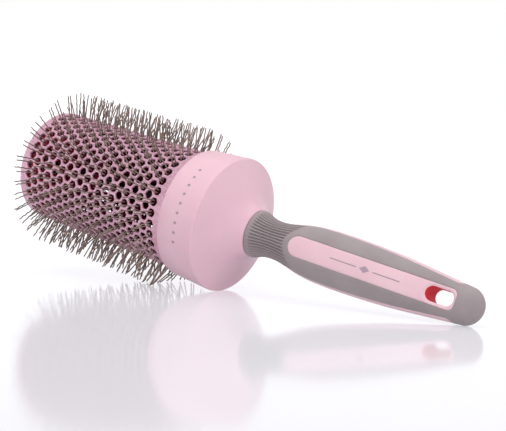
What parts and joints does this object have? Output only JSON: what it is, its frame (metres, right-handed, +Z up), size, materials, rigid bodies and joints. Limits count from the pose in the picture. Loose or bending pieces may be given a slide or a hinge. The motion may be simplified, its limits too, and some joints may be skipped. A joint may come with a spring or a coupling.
{
  "type": "round barrel brush",
  "caption": "Round thermal styling brush: perforated metal barrel with radial pin bristles, plastic collar, and a soft-grip handle with a hanging slot.",
  "frame": {"origin": "middle of the underside of the bounding box, on the surface that the brush lies on", "axes": "+Z up from the surface, +X from the barrel's free end towards the handle along the level projection of the brush's axis, +Y to the left of that"},
  "size_m": [0.2386, 0.0784, 0.0859],
  "materials": {
    "barrel_coating": "ceramic-coated aluminium, satin mauve pink with a metallic sheen",
    "cap_plastic": "satin mauve pink moulding",
    "collar_plastic": "satin pale pink moulding",
    "core_plastic": "smooth pale pink moulding",
    "grip_rubber": "soft-touch warm grey thermoplastic elastomer",
    "bristle_nylon": "taupe heat-resistant nylon",
    "carrier_plastic": "dark maroon heat-resistant moulding",
    "steel": "blackened steel; a guess, since no bright rod shows through the holes",
    "brass_insert": "plain brass"
  },
  "bodies": {
    "root": {"barrel": "barrel_coating", "front_cap": "cap_plastic", "front_spider": "carrier_plastic", "middle_spider": "carrier_plastic", "rear_spider": "carrier_plastic", "rear_bulkhead": "carrier_plastic", "tie_rod": "steel", "tie_rod_washer": "steel", "tie_rod_nut": "steel", "threaded_insert": "brass_insert", "collar": "collar_plastic", "handle_core": "core_plastic", "grip_overmould": "grip_rubber", "bristle_strip_01": "bristle_nylon", "bristle_strip_02": "bristle_nylon", "bristle_strip_03": "bristle_nylon", "bristle_strip_04": "bristle_nylon", "bristle_strip_05": "bristle_nylon", "bristle_strip_06": "bristle_nylon", "bristle_strip_07": "bristle_nylon", "bristle_strip_08": "bristle_nylon", "bristle_strip_09": "bristle_nylon", "bristle_strip_10": "bristle_nylon", "bristle_strip_11": "bristle_nylon", "bristle_strip_12": "bristle_nylon", "bristle_strip_13": "bristle_nylon", "bristle_strip_14": "bristle_nylon", "bristle_strip_15": "bristle_nylon", "bristle_strip_16": "bristle_nylon", "bristle_strip_17": "bristle_nylon", "bristle_strip_18": "bristle_nylon", "bristle_strip_19": "bristle_nylon", "bristle_strip_20": "bristle_nylon", "bristle_strip_21": "bristle_nylon", "bristle_strip_22": "bristle_nylon", "bristle_strip_23": "bristle_nylon", "bristle_strip_24": "bristle_nylon", "bristle_strip_25": "bristle_nylon", "bristle_strip_26": "bristle_nylon", "bristle_strip_27": "bristle_nylon", "bristle_strip_28": "bristle_nylon", "bristle_strip_29": "bristle_nylon", "bristle_strip_30": "bristle_nylon", "bristle_strip_31": "bristle_nylon", "bristle_strip_32": "bristle_nylon", "bristle_strip_33": "bristle_nylon", "bristle_strip_34": "bristle_nylon"}
  },
  "joints": []
}
